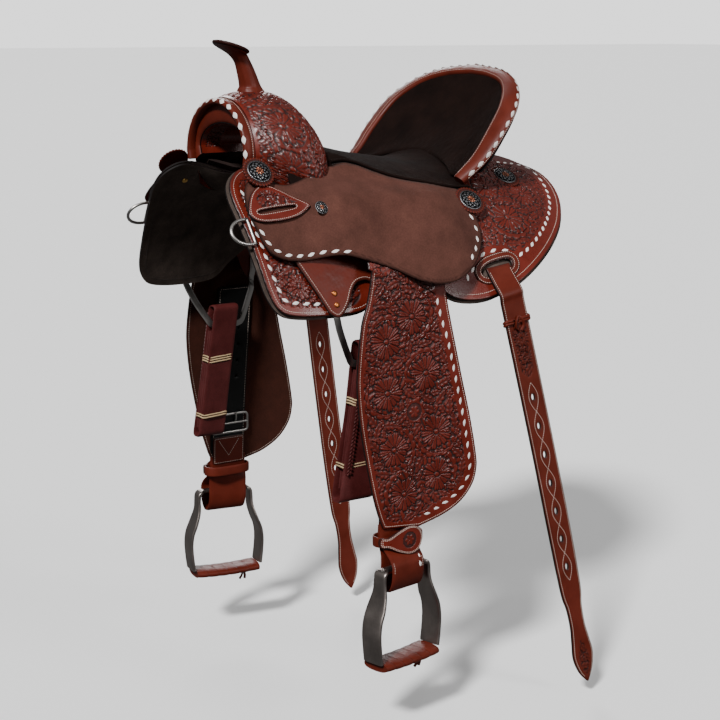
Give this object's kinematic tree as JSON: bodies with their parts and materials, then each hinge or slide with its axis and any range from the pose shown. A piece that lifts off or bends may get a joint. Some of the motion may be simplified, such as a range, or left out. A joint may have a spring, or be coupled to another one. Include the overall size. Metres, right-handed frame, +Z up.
{
  "type": "western saddle",
  "caption": "Western barrel-style saddle with horn, deep seat, tooled skirts and fenders, hanging stirrups, dropped-dee rigging, latigos and flank billets.",
  "frame": {"origin": "on the centre line between the tree bars, at the height where the saddle rests on the horse's back", "axes": "+Z up, the saddle faces -Y, the rider's left is +X"},
  "size_m": [0.6296, 0.6471, 1.0086],
  "materials": {
    "tree_wood": "bare",
    "ground_seat_leather": "plain",
    "seat_suede": "suede, rough",
    "tooled_leather": "hand-tooled, antiqued, semi-gloss",
    "plain_leather": "smooth, semi-gloss",
    "dark_leather": "smooth, burnished",
    "roughout_leather": "roughout, matt",
    "skirt_felt": "felt and suede, matt",
    "steel_hardware": "satin",
    "stirrup_metal": "brushed",
    "antique_silver": "antiqued, engraved",
    "copper_rivet": "plain copper",
    "black_strap": "coated webbing leather, satin",
    "latigo_leather": "oiled burgundy, satin"
  },
  "bodies": {
    "saddle": {"back_concho_left": "antique_silver", "back_concho_right": "antique_silver", "cantle_back": "tooled_leather", "cantle_binding": "dark_leather", "cantle_inlay": "seat_suede", "fork_binding": "tooled_leather", "fork_cover": "tooled_leather", "front_concho_left": "antique_silver", "front_concho_right": "antique_silver", "front_rosette_left": "dark_leather", "front_rosette_right": "dark_leather", "front_skirt_left": "tooled_leather", "front_skirt_right": "tooled_leather", "ground_seat": "ground_seat_leather", "gullet_lining": "tooled_leather", "horn_cap": "dark_leather", "horn_wrap": "tooled_leather", "jockey_screw_left": "antique_silver", "jockey_screw_right": "antique_silver", "latigo_keeper_left": "tooled_leather", "latigo_keeper_right": "tooled_leather", "rear_skirt_left": "tooled_leather", "rear_skirt_right": "tooled_leather", "rigging_dee_left": "steel_hardware", "rigging_dee_right": "steel_hardware", "rigging_plate_left": "plain_leather", "rigging_plate_right": "plain_leather", "rigging_rivets_left": "copper_rivet", "rigging_rivets_right": "copper_rivet", "seat_jockey_left": "roughout_leather", "seat_jockey_right": "roughout_leather", "seat_pad": "seat_suede", "side_concho_left": "antique_silver", "side_concho_right": "antique_silver", "skirt_lining_left": "skirt_felt", "skirt_lining_right": "skirt_felt", "tree_bar_left": "tree_wood", "tree_bar_right": "tree_wood", "tree_cantle": "tree_wood", "tree_fork": "tree_wood"},
    "leathers_left": {"leather_loop_left": "black_strap"},
    "fender_left": {"fender_left": "tooled_leather", "stirrup_leather_left": "black_strap", "leather_buckle_left": "steel_hardware", "hobble_strap_left": "plain_leather"},
    "stirrup_left": {"stirrup_left": "stirrup_metal", "stirrup_tread_left": "dark_leather"},
    "breast_dee_left": {"breast_dee_left": "steel_hardware"},
    "flank_billet_left": {"flank_billet_left": "plain_leather"},
    "leathers_right": {"leather_loop_right": "black_strap"},
    "fender_right": {"fender_right": "tooled_leather", "stirrup_leather_right": "black_strap", "leather_buckle_right": "steel_hardware", "hobble_strap_right": "plain_leather"},
    "stirrup_right": {"stirrup_right": "stirrup_metal", "stirrup_tread_right": "dark_leather"},
    "breast_dee_right": {"breast_dee_right": "steel_hardware"},
    "flank_billet_right": {"flank_billet_right": "plain_leather"},
    "latigo_left": {"latigo_left": "latigo_leather"},
    "off_billet_right": {"off_billet_right": "latigo_leather"}
  },
  "joints": [
    {"name": "fender_swing_left", "type": "hinge", "parent": "saddle", "child": "leathers_left", "pos_m": [0.125, -0.0848, 0.005], "axis": [0.8636, -0.0748, 0.4986], "range_deg": [-14, 5]},
    {"name": "fender_lift_left", "type": "hinge", "parent": "leathers_left", "child": "fender_left", "pos_m": [0.244, -0.163, -0.086], "axis": [0, -0.9541, 0.2995], "range_deg": [0, 40]},
    {"name": "stirrup_pivot_left", "type": "hinge", "parent": "fender_left", "child": "stirrup_left", "pos_m": [0.264, -0.107, -0.541], "axis": [-0.1736, 0.9848, 0], "range_deg": [-45, 45]},
    {"name": "breast_dee_hinge_left", "type": "hinge", "parent": "saddle", "child": "breast_dee_left", "pos_m": [0.15755, -0.3, -0.03624], "axis": [-0.5256, -0.0507, 0.8492], "range_deg": [0, 60]},
    {"name": "flank_billet_hinge_left", "type": "hinge", "parent": "saddle", "child": "flank_billet_left", "pos_m": [0.25184, 0.083, -0.1086], "axis": [0, -0.9827, -0.185], "range_deg": [0, 50]},
    {"name": "fender_swing_right", "type": "hinge", "parent": "saddle", "child": "leathers_right", "pos_m": [-0.125, -0.0848, 0.005], "axis": [0.8636, 0.0748, -0.4986], "range_deg": [-14, 5]},
    {"name": "fender_lift_right", "type": "hinge", "parent": "leathers_right", "child": "fender_right", "pos_m": [-0.244, -0.163, -0.086], "axis": [0, 0.9541, -0.2995], "range_deg": [0, 40]},
    {"name": "stirrup_pivot_right", "type": "hinge", "parent": "fender_right", "child": "stirrup_right", "pos_m": [-0.264, -0.107, -0.541], "axis": [-0.1736, -0.9848, 0], "range_deg": [-45, 45]},
    {"name": "breast_dee_hinge_right", "type": "hinge", "parent": "saddle", "child": "breast_dee_right", "pos_m": [-0.15755, -0.3, -0.03624], "axis": [-0.5256, 0.0507, -0.8492], "range_deg": [0, 60]},
    {"name": "flank_billet_hinge_right", "type": "hinge", "parent": "saddle", "child": "flank_billet_right", "pos_m": [-0.25184, 0.083, -0.1086], "axis": [0, 0.9827, 0.185], "range_deg": [0, 50]},
    {"name": "latigo_hang_left", "type": "hinge", "parent": "saddle", "child": "latigo_left", "pos_m": [0.205, -0.131, -0.238], "axis": [0, 1, 0], "range_deg": [-2, 35]},
    {"name": "off_billet_hang_right", "type": "hinge", "parent": "saddle", "child": "off_billet_right", "pos_m": [-0.205, -0.131, -0.238], "axis": [0, -1, 0], "range_deg": [-2, 35]}
  ]
}
